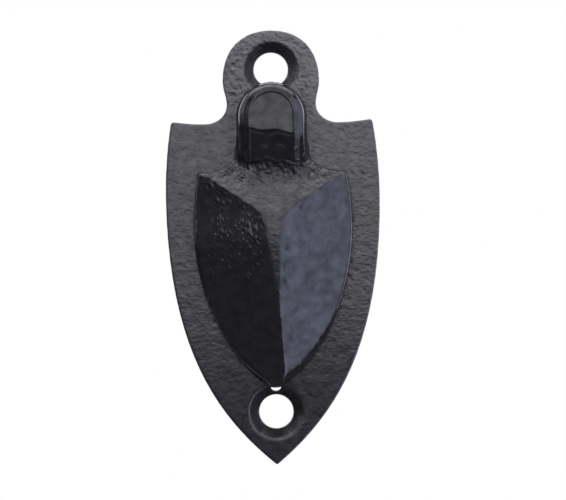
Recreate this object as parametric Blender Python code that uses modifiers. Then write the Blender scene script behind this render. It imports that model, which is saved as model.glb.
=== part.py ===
"""Covered keyhole escutcheon: a cast shield plate with a cover that swings over its keyhole.

Frame: +X right, +Z up. The plate's flat back lies on the plane y = 0, against the door, and
the front faces -Y. The origin is midway between the two screw holes, on the back face.
Lengths are in millimetres and become metres where a mesh is made. A height is a distance
forward from the cover's back plane.
"""

import math

import bmesh
import bpy
from mathutils import Matrix, Vector

MM = 0.001

# Plate
PLATE_THICKNESS = 3.0
PLATE_EDGE_ROUND = 0.3
PLATE_HALF_WIDTH = 16.07
PLATE_WIDEST_Z = 6.9
PLATE_TOP_EDGE_Z = 17.6
PLATE_TIP_Z = -33.64
LOBE_TOP_Z = 31.54
LOBE_HALF_WIDTH = 7.27
LOBE_CENTRE_Z = 24.0
NECK_HALF_WIDTH = 6.7
NECK_Z = 20.4

# Screw holes, for a countersunk screw with a 4.2 mm shank
SCREW_HOLE_Z = 25.7
SCREW_HOLE_DIAMETER = 5.1
COUNTERSINK_DIAMETER = 8.2
COUNTERSINK_DEPTH = (COUNTERSINK_DIAMETER - SCREW_HOLE_DIAMETER) / 2

# Keyhole
KEYHOLE_Z = -6.0
KEYHOLE_DIAMETER = 8.0
SLOT_TOP_HALF_WIDTH = 1.8
SLOT_END_RADIUS = 0.85
SLOT_END_Z = -22.6

# Pivot
PIVOT_Z = 16.2
PIVOT_BORE_DIAMETER = 3.8
RECESS_DIAMETER = 8.0
RECESS_DEPTH = 1.5
RIVET_DIAMETER = 3.2
SOCKET_DIAMETER = 3.4
SOCKET_DEPTH = 3.5
SOCKET_END_GAP = 0.15
TAIL_DIAMETER = 5.4
TAIL_UNDERSIDE = 0.85
TAIL_CROWN = 0.1
WASHER_DIAMETER = 7.0
WASHER_BORE_DIAMETER = 3.6
WASHER_THICKNESS = 0.45
WASHER_GAP = 0.1

# Cover: the facets are planes, height = at_origin + per_x * |x| + per_z * z
COVER_GAP = 0.5
COVER_BACK = PLATE_THICKNESS + COVER_GAP
COVER_HALF_WIDTH = 11.95
COVER_WIDEST_Z = 2.3
COVER_SHOULDER_Z = 13.2
HORN_X = 11.15
HORN_Z = 10.3
COVER_TIP_Z = -22.1
SIDE_FACET = (5.44, -0.36, 0.11)
TOP_FACET = (7.3, 0.0, -0.45)
CREST_FACET = (5.09, 0.0, 0.081)
POCKET_WALL = 2.1
BOSS_DIAMETER = 7.2
BOSS_HEIGHT = 0.4

# Knob
KNOB_HALF_WIDTH = 5.4
KNOB_FACE_HALF_WIDTH = 4.1
KNOB_ARC_Z = 18.5
KNOB_HEIGHT = 5.5
KNOB_BREAK_Z = 16.2
KNOB_SLOPE = 0.56
KNOB_FOOT_Z = 10.0
KNOB_CHAMFER = KNOB_HALF_WIDTH - KNOB_FACE_HALF_WIDTH

# Mesh fineness
ROUND_SIDES = 48
CURVE_STEPS = 10


def clear_scene():
    for obj in list(bpy.data.objects):
        bpy.data.objects.remove(obj, do_unlink=True)


def new_collection(name):
    collection = bpy.data.collections.new(name)
    bpy.context.scene.collection.children.link(collection)
    return collection


def material(name, color, roughness, metallic):
    made = bpy.data.materials.new(name)
    made.use_nodes = True
    shader = made.node_tree.nodes["Principled BSDF"]
    shader.inputs["Base Color"].default_value = (*color, 1.0)
    shader.inputs["Roughness"].default_value = roughness
    shader.inputs["Metallic"].default_value = metallic
    return made


def add_object(name, mesh, collection):
    obj = bpy.data.objects.new(name, mesh)
    collection.objects.link(obj)
    return obj


def mark_cutter(obj):
    obj.hide_render = True
    obj.display_type = "WIRE"
    return obj


def boolean(target, other, operation):
    modifier = target.modifiers.new(f"{operation.lower()} {other.name}", "BOOLEAN")
    modifier.operation = operation
    modifier.object = other


# Outlines: lists of (x, z) points on the front view

def cubic(start, pull_start, pull_end, end, steps=CURVE_STEPS):
    """Points of a cubic curve, without its end point."""
    points = []
    for i in range(steps):
        t = i / steps
        weights = ((1 - t) ** 3, 3 * (1 - t) ** 2 * t, 3 * (1 - t) * t * t, t ** 3)
        corners = (start, pull_start, pull_end, end)
        points.append(tuple(sum(w * c[k] for w, c in zip(weights, corners)) for k in (0, 1)))
    return points


def arc(centre_z, radius, start_degrees, end_degrees, steps):
    """Points of an arc about (0, centre_z), both ends included; 0 degrees is +X, 90 is +Z."""
    turn = end_degrees - start_degrees
    angles = [math.radians(start_degrees + turn * i / steps) for i in range(steps + 1)]
    return [(radius * math.cos(a), centre_z + radius * math.sin(a)) for a in angles]


def mirrored(right_half):
    """A closed outline from its right half, which starts and ends on the mid plane."""
    left_half = [(-x, z) for x, z in reversed(right_half) if x > 1e-6]
    return right_half + left_half


def plate_outline():
    lobe = cubic((0, LOBE_TOP_Z), (4.5, LOBE_TOP_Z), (LOBE_HALF_WIDTH, 28.67),
                 (LOBE_HALF_WIDTH, LOBE_CENTRE_Z))
    neck = cubic((LOBE_HALF_WIDTH, LOBE_CENTRE_Z), (LOBE_HALF_WIDTH, 22.6),
                 (NECK_HALF_WIDTH, 21.7), (NECK_HALF_WIDTH, NECK_Z))
    fillet = cubic((NECK_HALF_WIDTH, NECK_Z), (NECK_HALF_WIDTH, 18.85),
                   (8.2, PLATE_TOP_EDGE_Z), (10.0, PLATE_TOP_EDGE_Z))
    top_edge = cubic((10.0, PLATE_TOP_EDGE_Z), (12.2, PLATE_TOP_EDGE_Z), (13.6, 17.85),
                     (14.7, 17.98), steps=5)
    corner = cubic((14.7, 17.98), (15.02, 18.02), (15.14, 17.8), (15.2, 17.4), steps=4)
    shoulder = cubic((15.2, 17.4), (15.5, 15.6), (PLATE_HALF_WIDTH, 11.5),
                     (PLATE_HALF_WIDTH, PLATE_WIDEST_Z), steps=6)
    side = cubic((PLATE_HALF_WIDTH, PLATE_WIDEST_Z), (PLATE_HALF_WIDTH, -15.86),
                 (8.93, -26.23), (0.35, PLATE_TIP_Z + 0.27), steps=20)
    half = lobe + neck + fillet + top_edge + corner + shoulder + side
    return mirrored(half + [(0.35, PLATE_TIP_Z + 0.27), (0, PLATE_TIP_Z)])


def keyhole_outline():
    """A round hole that runs into a slot, which narrows to a round end."""
    radius = KEYHOLE_DIAMETER / 2
    slot_starts = -math.degrees(math.acos(SLOT_TOP_HALF_WIDTH / radius))
    hole = arc(KEYHOLE_Z, radius, 90, slot_starts, 20)
    end = arc(SLOT_END_Z + SLOT_END_RADIUS, SLOT_END_RADIUS, 0, -90, 8)
    return mirrored([(0, KEYHOLE_Z + radius)] + hole[1:] + end[:-1] + [(0, SLOT_END_Z)])


def cover_outline():
    shoulder = [(0, COVER_SHOULDER_Z), (KNOB_HALF_WIDTH, COVER_SHOULDER_Z)]
    flare = cubic((KNOB_HALF_WIDTH, COVER_SHOULDER_Z), (5.6, 11.5), (8.2, 10.1),
                  (HORN_X, HORN_Z), steps=8)[1:]
    horn = cubic((HORN_X, HORN_Z), (11.6, 7.8), (COVER_HALF_WIDTH, 5.0),
                 (COVER_HALF_WIDTH, COVER_WIDEST_Z), steps=6)
    side = cubic((COVER_HALF_WIDTH, COVER_WIDEST_Z), (COVER_HALF_WIDTH, -5.53),
                 (8.98, -16.62), (1.32, COVER_TIP_Z + 0.48), steps=16)
    tip = cubic((1.32, COVER_TIP_Z + 0.48), (1.15, COVER_TIP_Z + 0.17),
                (0.9, COVER_TIP_Z + 0.02), (0, COVER_TIP_Z), steps=4)
    return mirrored(shoulder + flare + horn + side + tip + [(0, COVER_TIP_Z)])


def pocket_outline():
    """The hollow in the cover's back, a wall's width inside its outline."""
    top = [(0, 7.6), (7.0, 7.6)]
    side = cubic((7.8, 6.9), (8.6, -2.0), (6.4, -12.0), (0.6, -17.4), steps=14)
    return mirrored(top + side + [(0, -17.6)])


# Solids

def prism(name, outline, back, front, collection):
    """A flat outline made solid from back to front, both measured forward from y = 0."""
    curve = bpy.data.curves.new(name, "CURVE")
    curve.dimensions = "2D"
    curve.fill_mode = "BOTH"
    curve.extrude = (front - back) / 2 * MM
    spline = curve.splines.new("POLY")
    spline.points.add(len(outline) - 1)
    for point, (x, z) in zip(spline.points, outline):
        point.co = (x * MM, z * MM, 0, 1)
    spline.use_cyclic_u = True
    source = bpy.data.objects.new(name, curve)
    source.rotation_euler.x = math.radians(90)
    source.location.y = -(front + back) / 2 * MM
    collection.objects.link(source)
    bpy.context.view_layer.update()
    evaluated = source.evaluated_get(bpy.context.evaluated_depsgraph_get())
    mesh = bpy.data.meshes.new_from_object(evaluated)
    place = source.matrix_world.copy()
    bpy.data.objects.remove(source, do_unlink=True)
    bpy.data.curves.remove(curve)
    shape = bmesh.new()
    shape.from_mesh(mesh)
    bmesh.ops.remove_doubles(shape, verts=shape.verts, dist=0.001 * MM)
    shape.to_mesh(mesh)
    shape.free()
    obj = add_object(name, mesh, collection)
    obj.matrix_world = place
    return obj


def round_front_edge(obj, front, radius):
    """Round the edge between an unmodified prism's front face and its sides."""
    shape = bmesh.new()
    shape.from_mesh(obj.data)
    front_y = -front * MM
    at_front = {v for v in shape.verts if abs((obj.matrix_world @ v.co).y - front_y) < 0.01 * MM}
    rim = [e for e in shape.edges if at_front.issuperset(e.verts)
           and e.is_manifold and e.calc_face_angle() > math.radians(45)]
    bmesh.ops.bevel(shape, geom=rim, offset=radius * MM, segments=2, profile=0.5,
                    affect="EDGES", clamp_overlap=True)
    shape.to_mesh(obj.data)
    shape.free()


def turned(name, profile, z, collection, sides=ROUND_SIDES):
    """A solid of revolution about the line through (0, z) along Y. Its profile is a list of
    (radius, distance forward from y = 0), from its front end to its back end."""
    mesh = bpy.data.meshes.new(name)
    shape = bmesh.new()
    corners = [shape.verts.new((radius * MM, 0, forward * MM)) for radius, forward in profile]
    for first, second in zip(corners, corners[1:]):
        shape.edges.new((first, second))
    if profile[0][0] > 0:
        shape.edges.new((corners[-1], corners[0]))
    shape.to_mesh(mesh)
    shape.free()
    obj = add_object(name, mesh, collection)
    obj.location = (0, 0, z * MM)
    obj.rotation_euler.x = math.radians(90)
    screw = obj.modifiers.new("turned", "SCREW")
    screw.axis = "Z"
    screw.steps = sides
    screw.render_steps = sides
    screw.use_merge_vertices = True
    screw.merge_threshold = 0.001 * MM
    return obj


def drill(name, diameter, z, back, front, collection):
    """A cylinder cutter along Y."""
    radius = diameter / 2
    profile = [(0, front), (radius, front), (radius, back), (0, back)]
    return mark_cutter(turned(name, profile, z, collection))


def pivot_drill(name, collection):
    """The pivot's bore, opened out at the back for the washer and the peened tail."""
    bore = PIVOT_BORE_DIAMETER / 2
    recess = RECESS_DIAMETER / 2
    profile = [
        (0, PLATE_THICKNESS + 1),
        (bore, PLATE_THICKNESS + 1),
        (bore, RECESS_DEPTH),
        (recess, RECESS_DEPTH),
        (recess, -1),
        (0, -1),
    ]
    return mark_cutter(turned(name, profile, PIVOT_Z, collection))


def countersunk_drill(name, z, collection):
    front = PLATE_THICKNESS
    over = 1.0
    bore = SCREW_HOLE_DIAMETER / 2
    profile = [
        (0, front + over),
        (COUNTERSINK_DIAMETER / 2 + over, front + over),
        (bore, front - COUNTERSINK_DEPTH),
        (bore, -over),
        (0, -over),
    ]
    return mark_cutter(turned(name, profile, z, collection))


def trim_to_facet(shape, facet, side):
    """Cut away what stands in front of a facet's plane; side is the sign of x."""
    at_origin, per_x, per_z = facet
    cut = bmesh.ops.bisect_plane(
        shape,
        geom=shape.verts[:] + shape.edges[:] + shape.faces[:],
        dist=0.0001 * MM,
        plane_co=Vector((0, -(COVER_BACK + at_origin) * MM, 0)),
        plane_no=Vector((-per_x * side, -1, -per_z)),
        clear_outer=True,
    )
    rim = [e for e in cut["geom_cut"] if isinstance(e, bmesh.types.BMEdge) and e.is_boundary]
    bmesh.ops.edgeloop_fill(shape, edges=rim)


def knob_face_height(z):
    return KNOB_HEIGHT - KNOB_SLOPE * max(0, KNOB_BREAK_Z - z)


def make_knob(name, collection):
    """The hull of the knob's base outline, the foot of its chamfer and its face."""
    shape = bmesh.new()

    def loop(radius, drop):
        points = arc(KNOB_ARC_Z, radius, 0, 180, 20)
        for z in (KNOB_BREAK_Z, KNOB_FOOT_Z):
            points += [(radius, z), (-radius, z)]
        for x, z in points:
            height = max(0, knob_face_height(z) - drop)
            shape.verts.new((x * MM, -(COVER_BACK + height) * MM, z * MM))

    loop(KNOB_HALF_WIDTH, KNOB_HEIGHT)
    loop(KNOB_HALF_WIDTH, KNOB_CHAMFER)
    loop(KNOB_FACE_HALF_WIDTH, 0)
    bmesh.ops.remove_doubles(shape, verts=shape.verts, dist=0.001 * MM)
    hull = bmesh.ops.convex_hull(shape, input=shape.verts)
    left_over = {v for v in hull["geom_interior"] + hull["geom_unused"]
                 if isinstance(v, bmesh.types.BMVert)}
    bmesh.ops.delete(shape, geom=list(left_over), context="VERTS")
    mesh = bpy.data.meshes.new(name)
    shape.to_mesh(mesh)
    shape.free()
    return mark_cutter(add_object(name, mesh, collection))


# Pieces

def make_backplate(parts, cutters):
    plate = prism("backplate", plate_outline(), 0, PLATE_THICKNESS, parts)
    round_front_edge(plate, PLATE_THICKNESS, PLATE_EDGE_ROUND)
    front = PLATE_THICKNESS + 1
    keyhole = mark_cutter(prism("keyhole_form", keyhole_outline(), -1, front, cutters))
    for cutter in (
        keyhole,
        pivot_drill("pivot_drill", cutters),
        countersunk_drill("upper_screw_drill", SCREW_HOLE_Z, cutters),
        countersunk_drill("lower_screw_drill", -SCREW_HOLE_Z, cutters),
    ):
        boolean(plate, cutter, "DIFFERENCE")
    return plate


def faceted_body(name, outline, back, sink, collection):
    """An outline made solid under the cover's facets, which are lowered by sink."""
    body = prism(name, outline, back, COVER_BACK + 8, collection)
    body.data.transform(body.matrix_world)
    body.matrix_world = Matrix.Identity(4)
    shape = bmesh.new()
    shape.from_mesh(body.data)
    for facet, side in ((SIDE_FACET, -1), (SIDE_FACET, 1), (TOP_FACET, 1), (CREST_FACET, 1)):
        at_origin, per_x, per_z = facet
        trim_to_facet(shape, (at_origin - sink, per_x, per_z), side)
    bmesh.ops.recalc_face_normals(shape, faces=shape.faces)
    shape.to_mesh(body.data)
    shape.free()
    return body


def make_cover(parts, cutters):
    cover = faceted_body("cover", cover_outline(), COVER_BACK, 0, parts)
    boolean(cover, make_knob("knob_form", cutters), "UNION")
    pocket = faceted_body("pocket_form", pocket_outline(), COVER_BACK - 1, POCKET_WALL, cutters)
    boolean(cover, mark_cutter(pocket), "DIFFERENCE")
    boss = drill("boss_form", BOSS_DIAMETER, PIVOT_Z, COVER_BACK - BOSS_HEIGHT,
                 COVER_BACK + 1, cutters)
    boolean(cover, boss, "UNION")
    socket = drill("socket_drill", SOCKET_DIAMETER, PIVOT_Z, COVER_BACK - 1,
                   COVER_BACK + SOCKET_DEPTH, cutters)
    boolean(cover, socket, "DIFFERENCE")
    return cover


def make_rivet(parts):
    """The pin in the knob's socket, with its tail peened over the washer."""
    shank = RIVET_DIAMETER / 2
    tail = TAIL_DIAMETER / 2
    front = COVER_BACK + SOCKET_DEPTH - SOCKET_END_GAP
    profile = [
        (0, front),
        (shank - 0.2, front),
        (shank, front - 0.2),
        (shank, TAIL_UNDERSIDE),
        (tail, TAIL_UNDERSIDE),
        (tail, TAIL_UNDERSIDE - 0.25),
        (tail * 0.8, TAIL_CROWN + 0.2),
        (tail * 0.4, TAIL_CROWN + 0.04),
        (0, TAIL_CROWN),
    ]
    return turned("pivot_rivet", profile, PIVOT_Z, parts)


def make_washer(parts):
    bore = WASHER_BORE_DIAMETER / 2
    rim = WASHER_DIAMETER / 2
    front = RECESS_DEPTH - WASHER_GAP
    back = front - WASHER_THICKNESS
    profile = [(bore, front), (rim, front), (rim, back), (bore, back)]
    return turned("rivet_washer", profile, PIVOT_Z, parts)


def shade_round(obj):
    obj.data.shade_smooth()
    obj.data.set_sharp_from_angle(angle=math.radians(30))


def main():
    clear_scene()
    parts = new_collection("covered_keyhole_escutcheon")
    cutters = new_collection("cutters")

    plate_paint = material("plate_black_paint", (0.020, 0.020, 0.023), 0.45, 0.0)
    cover_paint = material("cover_black_paint", (0.016, 0.016, 0.019), 0.35, 0.0)
    rivet_steel = material("rivet_steel", (0.32, 0.31, 0.30), 0.40, 1.0)
    washer_steel = material("washer_steel", (0.42, 0.41, 0.40), 0.35, 1.0)

    backplate = make_backplate(parts, cutters)
    pivot = bpy.data.objects.new("cover_pivot", None)
    pivot.location = (0, -COVER_BACK * MM, PIVOT_Z * MM)
    parts.objects.link(pivot)
    bpy.context.view_layer.update()

    moving = [make_cover(parts, cutters), make_rivet(parts), make_washer(parts)]
    bpy.context.view_layer.update()
    for piece in moving:
        piece.parent = pivot
        piece.matrix_parent_inverse = pivot.matrix_world.inverted()
    paints = (plate_paint, cover_paint, rivet_steel, washer_steel)
    for piece, paint in zip([backplate, *moving], paints):
        piece.data.materials.clear()
        piece.data.materials.append(paint)
        shade_round(piece)


main()
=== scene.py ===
"""The looks of a covered keyhole escutcheon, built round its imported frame.

The two castings are modelled as signed fields in millimetres, in the frame's own axes: +X right,
+Z up, the plate's back on y = 0 and the front towards -Y. A net of quads over each field's zero
surface, with its cast skin pressed in, replaces the plain CAD node. Everything else is in metres.
"""

import math

import bpy
import numpy as np
from mathutils import Euler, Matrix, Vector, noise


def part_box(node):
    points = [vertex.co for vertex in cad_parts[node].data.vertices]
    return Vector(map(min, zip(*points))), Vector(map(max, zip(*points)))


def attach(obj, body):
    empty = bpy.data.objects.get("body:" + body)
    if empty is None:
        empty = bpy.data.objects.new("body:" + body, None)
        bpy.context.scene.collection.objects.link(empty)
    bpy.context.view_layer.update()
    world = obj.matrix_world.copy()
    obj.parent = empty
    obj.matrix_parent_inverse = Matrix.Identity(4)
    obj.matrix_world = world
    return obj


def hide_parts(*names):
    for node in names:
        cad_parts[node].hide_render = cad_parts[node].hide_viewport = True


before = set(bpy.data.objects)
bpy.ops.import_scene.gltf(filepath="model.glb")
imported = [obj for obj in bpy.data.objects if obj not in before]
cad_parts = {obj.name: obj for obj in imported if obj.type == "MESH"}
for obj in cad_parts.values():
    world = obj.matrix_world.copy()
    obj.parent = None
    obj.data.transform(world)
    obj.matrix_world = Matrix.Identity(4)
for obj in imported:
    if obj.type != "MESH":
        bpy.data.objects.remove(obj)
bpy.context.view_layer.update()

MM = 0.001

# Sizes of the castings, as the CAD has them
SCREW_HOLE_Z = 25.7
SCREW_HOLE_RADIUS = 2.55
COUNTERSINK_RADIUS = 4.1
PIVOT_Z = 16.2
PIVOT_BORE_RADIUS = 1.9
RECESS_RADIUS = 4.0
RECESS_DEPTH = 1.5
SOCKET_RADIUS = 1.7
SOCKET_DEPTH = 3.5
BOSS_RADIUS = 3.6
BOSS_HEIGHT = 0.4
SIDE_FACET = (5.44, -0.36, 0.11)
TOP_FACET = (7.3, 0.0, -0.45)
CREST_FACET = (5.09, 0.0, 0.081)
POCKET_SINK = 2.1
KNOB_HALF_WIDTH = 5.4
KNOB_ARC_Z = 18.5
KNOB_HEIGHT = 5.5
KNOB_BREAK_Z = 16.2
KNOB_SLOPE = 0.56
KNOB_FOOT_Z = 9.0

# Radii of the castings' rounded edges, and of the fillet between knob and facets
PLATE_FRONT_EDGE = 0.14
PLATE_BACK_EDGE = 0.15
KEYHOLE_EDGE = 0.15
SCREW_HOLE_EDGE = 0.09
POCKET_EDGE = 0.25
KNOB_EDGE = 0.22
KNOB_FILLET = 0.9

# A height above a sloping face, over one of these, is about the distance from that face
FRONT_SLANT = 1.07
KNOB_SLANT = 1.15

# The cover's facets end in a narrow chamfer towards its wall
CHAMFER_DROP = 0.33
CHAMFER_RUN = 0.75

# The knob's face lies in a frame of two fine steps, each on an outline this far inside its edge
OUTER_STEP_INSET = 1.35
OUTER_STEP = 0.06
FACE_INSET = 2.05
FACE_STEP = 0.11
ARC_RISE_PER_INSET = 0.19
BEVEL_SLOPE = 0.72
# From here, outwards from the face, the bevel rolls over to its rim
RIM_START = 1.68

# Spacing of the sample points, in mm. The cover's are closer at the sides and top of its knob.
PLATE_SPACING = 0.197
COVER_SPACING = (0.15, 0.16, 0.182)
KNOB_SPACING = (0.115, 0.16, 0.11)


# Fields. Each is negative inside, and all lengths are in millimetres.

def round_union(a, b, radius):
    blend = np.hypot(np.maximum(radius - a, 0), np.maximum(radius - b, 0))
    return np.maximum(radius, np.minimum(a, b)) - blend


def round_intersection(a, b, radius):
    blend = np.hypot(np.maximum(radius + a, 0), np.maximum(radius + b, 0))
    return np.minimum(-radius, np.maximum(a, b)) + blend


def soft_lower(a, b, softness):
    """The lower of two heights, with their ridge rounded by softness."""
    return (a + b) / 2 - np.sqrt(((a - b) / 2) ** 2 + softness ** 2)


def soft_step(value, low, high):
    t = np.clip((value - low) / (high - low), 0, 1)
    return t * t * (3 - 2 * t)


def plane_height(facet, x, z):
    at_origin, per_x, per_z = facet
    return at_origin + per_x * np.abs(x) + per_z * z


def flat_loops(node, y):
    """The outlines of a CAD node's flat face at y, as (x, z) loops in mm, largest first."""
    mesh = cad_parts[node].data
    spots = [tuple(round(c / MM, 3) for c in v.co) for v in mesh.vertices]
    uses = {}
    for face in mesh.polygons:
        corners = [spots[i] for i in face.vertices]
        if all(abs(c[1] - y) < 0.002 for c in corners):
            for start, end in zip(corners, corners[1:] + corners[:1]):
                key = frozenset((start, end))
                uses.setdefault(key, []).append((start, end))
    follow = {}
    for pairs in uses.values():
        if len(pairs) == 1:
            start, end = pairs[0]
            follow[start] = end
    loops = []
    while follow:
        start, spot = follow.popitem()
        loop = [start]
        while spot != loop[0]:
            loop.append(spot)
            spot = follow.pop(spot)
        loops.append(np.array([(c[0], c[2]) for c in loop]))
    return sorted(loops, key=lambda loop: -np.prod(np.ptp(loop, axis=0)))


def outline_distance(loop, x, z):
    """Signed distance from a grid of points to a closed outline, negative inside."""
    nearest = np.full(x.shape, np.inf)
    inside = np.zeros(x.shape, bool)
    for (ax, az), (bx, bz) in zip(loop, np.roll(loop, -1, axis=0)):
        dx, dz = bx - ax, bz - az
        t = np.clip(((x - ax) * dx + (z - az) * dz) / (dx * dx + dz * dz), 0, 1)
        nearest = np.minimum(nearest, np.hypot(x - ax - t * dx, z - az - t * dz))
        if dz:
            crossing = ((az > z) != (bz > z)) & (x < ax + (z - az) * dx / dz)
            inside ^= crossing
    return np.where(inside, -nearest, nearest)


def sample_places(low, high, spacing):
    """Places from low to just past high, each spacing(place) from the next."""
    places = [low]
    while places[-1] < high:
        places.append(places[-1] + spacing(places[-1]))
    return np.array(places)


class Grid:
    """Sample points round a CAD node's box, with one clear cell or more on every side.
    Three functions of a place in mm say how far apart they are along X, Y and Z."""

    # In cells, and not a whole number, which keeps the samples off the flat faces
    START_MARGIN = 2.37
    END_MARGIN_MM = 0.4

    def __init__(self, node, spacings):
        corners = (np.array(corner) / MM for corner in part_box(node))
        self.axes = [
            sample_places(low - self.START_MARGIN * spacing(low), high + self.END_MARGIN_MM, spacing)
            for low, high, spacing in zip(*corners, spacings)]
        self.x = self.axes[0][:, None, None]
        self.y = self.axes[1][None, :, None]
        self.z = self.axes[2][None, None, :]

    def outline(self, loop):
        x, z = np.broadcast_arrays(self.x[:, 0, :], self.z[0, 0][None, :])
        return outline_distance(loop, x, z)[:, None, :]

    def hole(self, z, radius):
        """Signed distance to a round hole along Y."""
        return np.hypot(self.x, self.z - z) - radius


def surface_net(field, grid):
    """Points in mm and quads, facing out, of the zero surface of a field sampled on a grid."""
    cells = tuple(n - 1 for n in field.shape)
    total = np.zeros((*cells, 3))
    count = np.zeros(cells)
    quads = []
    for axis in range(3):
        u, v = (axis + 1) % 3, (axis + 2) % 3
        ends = [slice(None)] * 3
        starts = list(ends)
        starts[axis], ends[axis] = slice(None, -1), slice(1, None)
        near, far = field[tuple(starts)], field[tuple(ends)]
        spot = np.array(np.nonzero((near < 0) != (far < 0)))
        first, last = near[tuple(spot)], far[tuple(spot)]
        crossing = spot.T.astype(float)
        crossing[:, axis] += first / (first - last)
        ring = []
        for du, dv in ((-1, -1), (0, -1), (0, 0), (-1, 0)):
            cell = spot.copy()
            cell[u] += du
            cell[v] += dv
            np.add.at(total, tuple(cell), crossing)
            np.add.at(count, tuple(cell), 1)
            ring.append(np.ravel_multi_index(cell, cells))
        ring = np.array(ring).T
        ring[last < 0] = ring[last < 0][:, ::-1]
        quads.append(ring)
    quads = np.concatenate(quads)
    used, quads = np.unique(quads, return_inverse=True)
    points = total.reshape(-1, 3)[used] / count.reshape(-1)[used][:, None]
    for k, places in enumerate(grid.axes):
        points[:, k] = np.interp(points[:, k], np.arange(len(places)), places)
    return points, quads.reshape(-1, 4)


def make_mesh(name, points, faces):
    """A smooth-shaded object from points in mm."""
    mesh = bpy.data.meshes.new(name)
    mesh.from_pydata((points * MM).tolist(), [], faces.tolist())
    mesh.shade_smooth()
    obj = bpy.data.objects.new(name, mesh)
    bpy.context.scene.collection.objects.link(obj)
    return obj


def press_in(obj, skin_at):
    """Give a casting its skin. skin_at(points, normals) says how far in, in mm, each point moves
    along its normal, and how rough the metal is there, from 0 to 1, for the paint to follow."""
    mesh = obj.data
    points = np.empty(len(mesh.vertices) * 3, np.float32)
    normals = np.empty_like(points)
    mesh.vertices.foreach_get("co", points)
    mesh.vertex_normals.foreach_get("vector", normals)
    points, normals = points.reshape(-1, 3), normals.reshape(-1, 3)
    depth, roughness = skin_at(points / MM, normals)
    points -= normals * (depth * MM)[:, None]
    mesh.vertices.foreach_set("co", points.ravel())
    as_cast = mesh.attributes.new("as_cast", "FLOAT", "POINT")
    as_cast.data.foreach_set("value", roughness.astype(np.float32))
    mesh.update()


# Cast skin

# The noise is turned away from the castings' axes, so that its lattice doesn't show on flat faces
NOISE_TURN = np.array(Euler((0.5, 0.35, 0.9)).to_matrix())
STROKE_TURN = np.array(Euler((0, math.radians(55), 0)).to_matrix())


def sampled(points, wavelength, seed, stretch=(1, 1, 1)):
    """Smooth noise from about -1 to 1 at points in mm."""
    scaled = (points / stretch) @ NOISE_TURN / wavelength + seed
    return np.array([noise.noise(Vector(p)) for p in scaled])


def pebble_depth(points):
    """Depth of a sand-cast face below its highest grains, under a coat of paint."""
    pebbles = 0.5 + sampled(points, 0.8, 11.3, (1.2, 1.0, 1.0))
    grains = 0.5 + sampled(points, 0.45, 47.9, (1.2, 1.0, 1.0))
    return 0.020 * pebbles + 0.019 * grains


def ripple_depth(points):
    """Broad soft ripples, longer across than up."""
    return 0.024 * (0.5 + sampled(points, 1.5, 83.1, (1.9, 1.0, 1.0)))


def pit_depth(points, rarity):
    """Small scattered pits; a higher rarity leaves fewer."""
    return np.maximum(sampled(points, 0.8, 29.7) - rarity, 0)


def torn_depth(points):
    """A coarse, torn skin such as a mould leaves in a tight corner."""
    lumps = sampled(points, 0.8, 61.7) + 0.6 * sampled(points, 0.4, 5.9)
    return 0.3 * np.clip(0.6 - lumps, 0, 1.5)


def cast_depth(points, pitted=1):
    """Pebbles with pits among them, where pitted is not 0."""
    return pebble_depth(points) + 0.2 * pit_depth(points, 0.3) * pitted


# Castings

def backplate_field(grid):
    outline, keyhole = flat_loops("backplate", 0)[:2]
    thickness = -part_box("backplate")[0].y / MM
    front = -thickness - grid.y
    plate = round_intersection(grid.outline(outline), front, PLATE_FRONT_EDGE)
    plate = round_intersection(plate, grid.y, PLATE_BACK_EDGE)
    plate = round_intersection(plate, -grid.outline(keyhole), KEYHOLE_EDGE)
    for z in (SCREW_HOLE_Z, -SCREW_HOLE_Z):
        countersink = (grid.hole(z, COUNTERSINK_RADIUS) - front) / math.sqrt(2)
        screw_hole = np.minimum(grid.hole(z, SCREW_HOLE_RADIUS), countersink)
        plate = round_intersection(plate, -screw_hole, SCREW_HOLE_EDGE)
    recess = np.maximum(grid.hole(PIVOT_Z, RECESS_RADIUS), -RECESS_DEPTH - grid.y)
    pivot = np.minimum(grid.hole(PIVOT_Z, PIVOT_BORE_RADIUS), recess)
    return np.maximum(plate, -pivot)


def crown_height(x, z):
    """Height of the middle facets above the cover's back plane: the top one and the crest."""
    # Rounding their ridge lowers it, so the crest is lifted a little
    lift, softness = 0.03, 0.3
    return soft_lower(plane_height(TOP_FACET, x, z), plane_height(CREST_FACET, x, z) + lift, softness)


def bow(z):
    """How far the faceted front lies above the flat facets. It rises from top down to bottom,
    and from tip_start it falls away towards the tip."""
    top, bottom, tip_start = 4.5, 0.5, -1
    steepness, offset, tip_fall = 0.26, 0.56, 0.06
    lift = np.logaddexp(0, top - z) - np.logaddexp(0, bottom - z)
    return steepness * lift - offset - tip_fall * np.logaddexp(0, tip_start - z)


def side_height(x, z):
    """Height of the side facets above the cover's back plane. They are slightly crowned, and meet
    at a ridge that leans to the right towards the tip."""
    lean_slope, lean_start = 0.058, 2.3
    crowning, middle = 0.0035, 4
    lean = lean_slope * np.logaddexp(0, lean_start - z)
    return plane_height(SIDE_FACET, x - lean, z) - crowning * (np.abs(x) - middle) ** 2


def front_height(x, z):
    """Height of the cover's front above its back plane, without the knob. The side facets' edge
    with the crown wanders as one filed by hand does."""
    crown = crown_height(x, z)
    sides = side_height(x, z)
    wander = 0.035 * np.sin(1.7 * x + 0.8 * z) + 0.02 * np.sin(3.1 * z - 1.7 * x + 2.0)
    near_edge = np.exp(-((crown - sides) / 0.6) ** 2)
    sides = sides + wander * near_edge * soft_step(z, 0, 4)
    edge_softness = 0.03
    return soft_lower(crown, sides, edge_softness) + bow(z)


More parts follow.
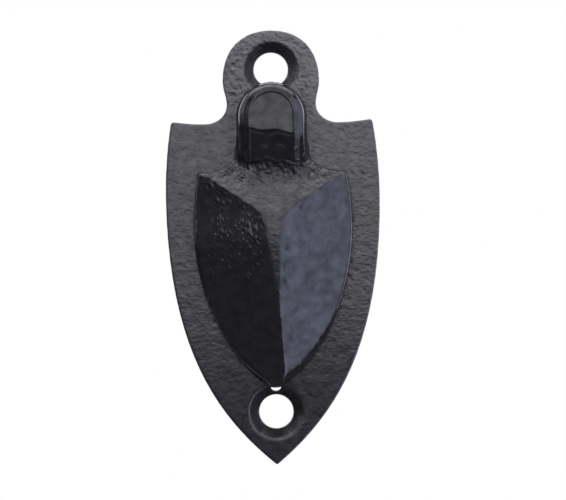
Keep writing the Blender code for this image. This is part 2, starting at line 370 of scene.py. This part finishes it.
def knob_outline(x, z, inset=0):
    """Signed distance to the knob's outline, or to a like one that lies inset inside it."""
    arc_z = KNOB_ARC_Z + ARC_RISE_PER_INSET * inset
    from_axis = np.where(z > arc_z, np.hypot(x, z - arc_z), np.abs(x))
    return from_axis - (KNOB_HALF_WIDTH - inset)


def knob_height(x, z):
    """A face that breaks to a slope, with a drip of paint just under the break, in its stepped
    frame, and a bevel that falls to the edge."""
    break_z = KNOB_BREAK_Z - 0.12 * x + 0.16 * np.sin(1.3 * x + 0.6)
    break_softness = 0.22
    fall = np.logaddexp(0, (break_z - z) / break_softness) * break_softness
    bevel = np.maximum(knob_outline(x, z, FACE_INSET), 0)
    lip = 0.175 * (1 - np.exp(-bevel / 0.45))
    height = KNOB_HEIGHT - KNOB_SLOPE * fall - BEVEL_SLOPE * bevel + lip
    height -= 3 * np.maximum(bevel - RIM_START, 0) ** 2
    height -= FACE_STEP * soft_step(-knob_outline(x, z, FACE_INSET), 0, 0.24)
    drip_x, drip_z = -0.4, 15.75
    height += 0.16 * np.exp(-((x - drip_x) / 0.6) ** 2 - ((z - drip_z) / 0.22) ** 2)
    return height - OUTER_STEP * soft_step(-knob_outline(x, z, OUTER_STEP_INSET), 0, 0.2)


def cover_field(grid):
    back_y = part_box("cover")[1].y / MM - BOSS_HEIGHT
    outline, pocket_outline = flat_loops("cover", back_y)[:2]
    x, z = grid.x, grid.z
    height = back_y - grid.y
    facets = front_height(x, z)

    at_tip = soft_step(-z, 10, 19)
    beside_tip = at_tip * soft_step(np.abs(x), 0.6, 2.4)
    on_flare = soft_step(z, 7.5, 10) * soft_step(10.8 - np.abs(x), 0, 1.5)
    draft = 0.04 + 0.06 * soft_step(-z, 0, 8) + 0.25 * beside_tip
    chamfer = CHAMFER_RUN * np.clip(CHAMFER_DROP - (facets - height), 0, CHAMFER_DROP)
    wall = (grid.outline(outline) + draft * np.maximum(height, 0) + chamfer) / np.hypot(1, draft)
    edge_radius = (0.08 + 0.1 * soft_step(np.abs(x), 2, 6) + 0.3 * at_tip + 0.25 * beside_tip
                   + 0.4 * on_flare)
    shield = round_intersection(wall, (height - facets) / FRONT_SLANT, edge_radius)

    foot_spread = 0.3
    narrowing = foot_spread * (1 - np.exp(-np.maximum(height, 0) / foot_spread))
    knob_wall = knob_outline(x, z) + narrowing + 0.05 * np.maximum(height, 0)
    knob_top = (height - knob_height(x, z)) / KNOB_SLANT
    knob = round_intersection(knob_wall, knob_top, KNOB_EDGE)
    knob = np.maximum(knob, KNOB_FOOT_Z - z)
    cover = round_union(shield, knob, KNOB_FILLET)

    cover = np.maximum(cover, -height)
    pocket_roof = (height - facets + POCKET_SINK) / FRONT_SLANT
    pocket = np.maximum(grid.outline(pocket_outline), pocket_roof)
    cover = round_intersection(cover, -pocket, POCKET_EDGE)
    # The boss reaches 1 mm into the cover, so that no seam shows at its foot
    boss = np.maximum(grid.hole(PIVOT_Z, BOSS_RADIUS), np.maximum(-BOSS_HEIGHT - height, height - 1))
    cover = np.minimum(cover, boss)
    socket = np.maximum(grid.hole(PIVOT_Z, SOCKET_RADIUS), height - SOCKET_DEPTH)
    return np.maximum(cover, -socket)


def make_backplate():
    grid = Grid("backplate", [lambda place: PLATE_SPACING] * 3)
    obj = make_mesh("plate_casting", *surface_net(backplate_field(grid), grid))

    def skin(points, normals):
        """Smoother down the left side and in the countersinks, coarsest round the upper hole."""
        x, z = points[:, 0], points[:, 2]
        front = soft_step(-normals[:, 1], 0.2, 0.9)
        lobe = soft_step(z, 17, 23)
        from_screw = np.hypot(x, np.abs(z) - SCREW_HOLE_Z)
        in_countersink = soft_step(COUNTERSINK_RADIUS - from_screw, -0.2, 0.2)
        undrilled = 1 - 0.75 * in_countersink * (points[:, 1] < -1)
        grain = 0.5 + 0.25 * soft_step(x + 0.5 * z, -2, 12) + 0.45 * lobe
        grain *= (1 - 0.45 * soft_step(-z, 8, 24)) * undrilled
        depth = cast_depth(points) * grain
        depth += ripple_depth(points) * undrilled * (1 - 0.5 * soft_step(-z, 4, 22))
        speckle = 0.065 * (0.5 + sampled(points, 0.5, 61.7)) + 0.26 * pit_depth(points * 1.5, 0.2)
        depth += speckle * lobe * undrilled
        return depth * (0.3 + 0.7 * front), grain

    press_in(obj, skin)
    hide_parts("backplate")
    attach(obj, "plate")
    return obj


def make_cover():
    grid = Grid("cover", [
        lambda x: (KNOB_SPACING if 3.0 < abs(x) < 5.6 else COVER_SPACING)[0],
        lambda y: COVER_SPACING[1],
        lambda z: (KNOB_SPACING if z > 18 else COVER_SPACING)[2],
    ])
    obj = make_mesh("cover_casting", *surface_net(cover_field(grid), grid))

    def skin(points, normals):
        """Filed smooth on the knob and side facets, and torn where the knob meets the front."""
        x, z = points[:, 0], points[:, 2]
        on_crown = soft_step(side_height(x, z) - crown_height(x, z), -0.25, 0.15)
        above_foot = z - 11.0 - 0.7 * sampled(points, 1.5, 7.7) - 0.5 * sampled(points, 0.6, 53.1)
        on_knob = soft_step(above_foot, 0, 1.2) * soft_step(-knob_outline(x, z), -0.7, 0)
        front = soft_step(-normals[:, 1], 0.2, 0.8)
        behind = soft_step(normals[:, 1], 0.5, 0.9)
        as_cast = (0.15 + 0.85 * on_crown) * (1 - on_knob)

        left_facet = soft_step(-x, 0, 2) * soft_step(x + 10.8, 0, 1.5) * soft_step(z, -18, -2)
        # File strokes on the left facet, runs of paint on the knob
        along_strokes = points @ STROKE_TURN
        clusters = soft_step(sampled(points, 2.4, 13.3), -0.9, 0.0)
        nodules = np.maximum(sampled(along_strokes, 0.42, 19.1, (1.6, 1.0, 1.0)) + 0.05, 0) * clusters
        runs = np.maximum(sampled(points, 1.0, 41.7) - 0.15, 0) * soft_step(15.5 - z, 0, 3)
        depth = cast_depth(points, on_crown) * as_cast
        depth += ripple_depth(points) * as_cast
        depth += 0.15 * (0.4 - nodules) * left_facet * (1 - on_crown)
        mottle = 0.5 + 0.7 * sampled(points, 2.2, 71.9) + 0.4 * sampled(points, 0.9, 3.3)
        depth += 0.058 * mottle * (1 - on_crown) * (1 - on_knob)
        depth += torn_depth(points) * soft_step(z, 7.0, 10.5) * on_crown * (1 - on_knob)
        depth *= (0.3 + 0.7 * front) * (1 - behind)
        depth += 0.005 * (1 + sampled(points, 1.6, 33.3)) * on_knob
        return np.maximum(depth, 0) - 0.3 * runs * on_knob * front, as_cast

    press_in(obj, skin)
    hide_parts("cover")
    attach(obj, "swinging_cover")
    return obj


# Materials

def principled(name, color, roughness, metallic=0.0):
    made = bpy.data.materials.new(name)
    made.use_nodes = True
    shader = made.node_tree.nodes["Principled BSDF"]
    shader.inputs["Base Color"].default_value = (*color, 1)
    shader.inputs["Roughness"].default_value = roughness
    shader.inputs["Metallic"].default_value = metallic
    return made, made.node_tree, shader


def add_noise(tree, scale, detail=4.0, roughness=0.5, stretch=(1, 1, 1)):
    """A noise texture in the object's own coordinates; scale is in waves per metre."""
    place = tree.nodes.new("ShaderNodeTexCoord")
    mapping = tree.nodes.new("ShaderNodeMapping")
    mapping.inputs["Scale"].default_value = [1 / s for s in stretch]
    texture = tree.nodes.new("ShaderNodeTexNoise")
    texture.inputs["Scale"].default_value = scale
    texture.inputs["Detail"].default_value = detail
    texture.inputs["Roughness"].default_value = roughness
    tree.links.new(place.outputs["Object"], mapping.inputs["Vector"])
    tree.links.new(mapping.outputs["Vector"], texture.inputs["Vector"])
    return texture.outputs["Fac"]


def remap(tree, value, low, high):
    """Stretch the usual range of a noise texture, 0.3 to 0.7, to low to high."""
    mapping = tree.nodes.new("ShaderNodeMapRange")
    mapping.inputs["From Min"].default_value = 0.3
    mapping.inputs["From Max"].default_value = 0.7
    mapping.inputs["To Min"].default_value = low
    mapping.inputs["To Max"].default_value = high
    tree.links.new(value, mapping.inputs["Value"])
    return mapping.outputs["Result"]


def bump(tree, shader, value, strength, distance):
    node = tree.nodes.new("ShaderNodeBump")
    node.inputs["Strength"].default_value = strength
    node.inputs["Distance"].default_value = distance
    tree.links.new(value, node.inputs["Height"])
    tree.links.new(node.outputs["Normal"], shader.inputs["Normal"])


def math_node(tree, operation, first, second):
    node = tree.nodes.new("ShaderNodeMath")
    node.operation = operation
    for socket, value in zip(node.inputs, (first, second)):
        if isinstance(value, bpy.types.NodeSocket):
            tree.links.new(value, socket)
        else:
            socket.default_value = value
    return node.outputs[0]


def black_paint(name, color, smooth_roughness, cast_roughness, cast_sheen, peel_height):
    """Thick black paint: glossy on filed metal, duller with an orange peel on metal as cast."""
    made, tree, shader = principled(name, color, smooth_roughness)
    as_cast = tree.nodes.new("ShaderNodeAttribute")
    as_cast.attribute_name = "as_cast"
    amount = as_cast.outputs["Fac"]

    duller = math_node(tree, "MULTIPLY", amount, cast_roughness - smooth_roughness)
    patchy = remap(tree, add_noise(tree, 900), smooth_roughness - 0.05, smooth_roughness + 0.08)
    tree.links.new(math_node(tree, "ADD", patchy, duller), shader.inputs["Roughness"])

    sheen = remap(tree, add_noise(tree, 700, 3), 0.34, 0.66)
    more = math_node(tree, "MULTIPLY", amount, cast_sheen)
    tree.links.new(math_node(tree, "ADD", sheen, more), shader.inputs["Specular IOR Level"])

    peel = add_noise(tree, 2200, 2, 0.5, (1.4, 1.0, 1.0))
    bump(tree, shader, math_node(tree, "MULTIPLY", peel, amount), 1.0, peel_height)
    return made


def worn_steel(name, color, roughness):
    made, tree, shader = principled(name, color, roughness, 1.0)
    wear = remap(tree, add_noise(tree, 1500), roughness, roughness + 0.25)
    tree.links.new(wear, shader.inputs["Roughness"])
    bump(tree, shader, add_noise(tree, 1800, 5), 0.4, 0.00008)
    return made


# Studio

def soft_box(name, azimuth, elevation, width, height, radiance, color, distance=0.30, aim=(0, 0, 0)):
    """An area light that faces aim. Azimuth 0 is in front and 90 is to the right."""
    a, e = math.radians(azimuth), math.radians(elevation)
    back = Vector((math.sin(a) * math.cos(e), -math.cos(a) * math.cos(e), math.sin(e)))
    data = bpy.data.lights.new(name, "AREA")
    data.shape = "RECTANGLE"
    data.size, data.size_y = width, height
    data.energy = radiance * math.pi * width * height
    data.color = color
    obj = bpy.data.objects.new(name, data)
    obj.location = Vector(aim) + back * distance
    obj.rotation_euler = back.to_track_quat("Z", "Y").to_euler()
    obj.visible_camera = False
    bpy.context.scene.collection.objects.link(obj)


def make_studio():
    """Soft boxes round the object, before a backdrop that the camera sees as pure white."""
    world = bpy.data.worlds.new("studio")
    bpy.context.scene.world = world
    world.use_nodes = True
    tree = world.node_tree
    path = tree.nodes.new("ShaderNodeLightPath")
    mix = tree.nodes.new("ShaderNodeMix")
    mix.data_type = "RGBA"
    mix.inputs["A"].default_value = (0.11, 0.105, 0.125, 1)
    mix.inputs["B"].default_value = (1, 1, 1, 1)
    tree.links.new(path.outputs["Is Camera Ray"], mix.inputs["Factor"])
    tree.links.new(mix.outputs["Result"], tree.nodes["Background"].inputs["Color"])

    white, blue, teal = (1.0, 0.98, 1.05), (0.67, 0.70, 1.0), (0.71, 0.77, 0.99)
    violet, lilac = (0.98, 0.93, 1.15), (0.93, 0.86, 1.05)
    # Name, azimuth, elevation, width, height, radiance, color, and for some the distance and aim
    soft_box("front_softbox", 0, 0, 0.13, 0.130, 1.62, white, 0.14, (0, 0, 0.055))
    soft_box("upper_softbox", 0, 48, 0.20, 0.06, 1.1, white, 0.17)
    soft_box("overhead_softbox", 0, 73, 0.30, 0.088, 3.9, white, 0.17)
    soft_box("left_softbox", -72, 26, 0.20, 0.22, 1.3, white)
    soft_box("dim_left_softbox", -42, -8, 0.18, 0.40, 0.13, violet)
    soft_box("near_right_softbox", 39, -3, 0.075, 0.42, 2.75, blue)
    soft_box("far_right_softbox", 60, -3, 0.14, 0.42, 2.0, teal)
    soft_box("low_right_softbox", 45, -46, 0.20, 0.14, 0.8, blue)
    soft_box("low_front_softbox", 0, -38, 0.24, 0.08, 0.32, white)
    soft_box("low_left_softbox", -108, -35, 0.16, 0.16, 0.7, white)
    soft_box("left_side_softbox", -107, 20, 0.13, 0.26, 0.8, white)
    soft_box("left_rim_light", -132, 15, 0.12, 0.24, 3.0, white)
    soft_box("right_rim_light", 113, 8, 0.30, 0.34, 2.6, lilac)
    soft_box("backdrop_light", 180, 10, 1.6, 1.0, 1.0, (1.0, 1.0, 1.0), 0.40)

    floor_mesh = bpy.data.meshes.new("floor")
    side, low = 2.0, -0.35
    corners = [(-side, -side, low), (side, -side, low), (side, side, low), (-side, side, low)]
    floor_mesh.from_pydata(corners, [], [(0, 1, 2, 3)])
    floor = bpy.data.objects.new("floor", floor_mesh)
    bpy.context.scene.collection.objects.link(floor)
    pale, pale_tree, shader = principled("pale_floor", (0.25, 0.25, 0.25), 0.9)
    floor_path = pale_tree.nodes.new("ShaderNodeLightPath")
    shader.inputs["Emission Color"].default_value = (1, 1, 1, 1)
    pale_tree.links.new(floor_path.outputs["Is Camera Ray"], shader.inputs["Emission Strength"])
    floor.data.materials.append(pale)


def make_camera():
    """A long lens straight in front, rolled a little as the photographer held it."""
    camera = bpy.data.cameras.new("camera")
    obj = bpy.data.objects.new("camera", camera)
    bpy.context.scene.collection.objects.link(obj)
    frame_width = 0.0849
    distance = 0.6
    camera.sensor_width = 36
    camera.lens = camera.sensor_width * distance / frame_width
    camera.clip_start, camera.clip_end = 0.01, 20
    aim_x, aim_y, aim_z = 0.0014, -0.003, -0.00145
    obj.location = (aim_x, aim_y - distance, aim_z)
    roll = math.radians(0.95)
    obj.rotation_euler = (math.radians(90), roll, 0)
    bpy.context.scene.camera = obj


def set_material(obj, material):
    obj.data.materials.clear()
    obj.data.materials.append(material)


make_camera()
make_studio()
plate = make_backplate()
cover = make_cover()
set_material(plate, black_paint(
    "plate_paint", (0.013, 0.0125, 0.014), smooth_roughness=0.24, cast_roughness=0.36,
    cast_sheen=0.55, peel_height=0.00014))
set_material(cover, black_paint(
    "cover_paint", (0.007, 0.007, 0.008), smooth_roughness=0.14, cast_roughness=0.36,
    cast_sheen=0.1, peel_height=0.00012))
set_material(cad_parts["pivot_rivet"], worn_steel("rivet_steel", (0.32, 0.31, 0.30), 0.35))
set_material(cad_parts["rivet_washer"], worn_steel("washer_steel", (0.42, 0.41, 0.40), 0.3))

bpy.context.scene.view_settings.view_transform = "Standard"
